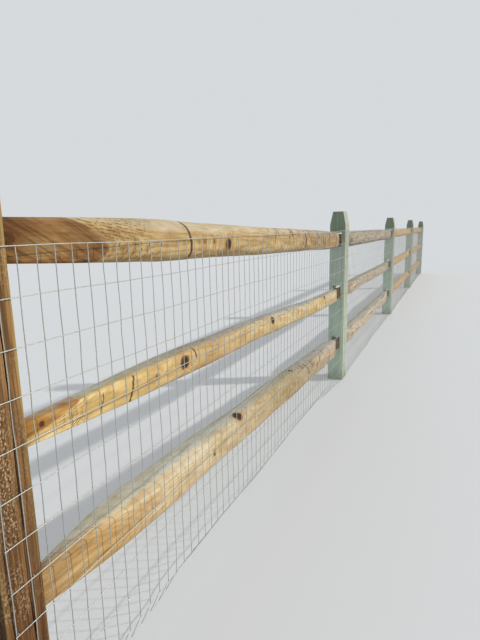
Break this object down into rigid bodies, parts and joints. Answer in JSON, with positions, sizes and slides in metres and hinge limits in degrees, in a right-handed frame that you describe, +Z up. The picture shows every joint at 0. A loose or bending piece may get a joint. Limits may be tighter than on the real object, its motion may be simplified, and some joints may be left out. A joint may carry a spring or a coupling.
{
  "type": "post and wire fence",
  "caption": "Post and rail fence of round pine rails in mortised dog-eared posts, with welded wire mesh on its front face.",
  "frame": {"origin": "middle of the near end post's foot, at ground level", "axes": "+X along the fence from the near end post, +Y to the back, away from the wire mesh, +Z up"},
  "size_m": [13.1225, 0.132, 1.46],
  "materials": {
    "near_end_post_timber": "weathered brown, treated",
    "line_post_timber": "weathered grey-green, treated",
    "rail_timber": "fresh sawn and peeled pine",
    "galvanised_wire": "galvanised, dull"
  },
  "bodies": {
    "root": {"near_end_post": "near_end_post_timber", "line_post_1": "line_post_timber", "line_post_2": "line_post_timber", "line_post_3": "line_post_timber", "far_end_post": "line_post_timber", "bay_1_bottom_rail": "rail_timber", "bay_1_middle_rail": "rail_timber", "bay_1_top_rail": "rail_timber", "bay_2_bottom_rail": "rail_timber", "bay_2_middle_rail": "rail_timber", "bay_2_top_rail": "rail_timber", "bay_3_bottom_rail": "rail_timber", "bay_3_middle_rail": "rail_timber", "bay_3_top_rail": "rail_timber", "bay_4_bottom_rail": "rail_timber", "bay_4_middle_rail": "rail_timber", "bay_4_top_rail": "rail_timber", "mesh_line_wires": "galvanised_wire", "bay_1_mesh_stays": "galvanised_wire", "bay_2_mesh_stays": "galvanised_wire", "bay_3_mesh_stays": "galvanised_wire", "bay_4_mesh_stays": "galvanised_wire"}
  },
  "joints": []
}
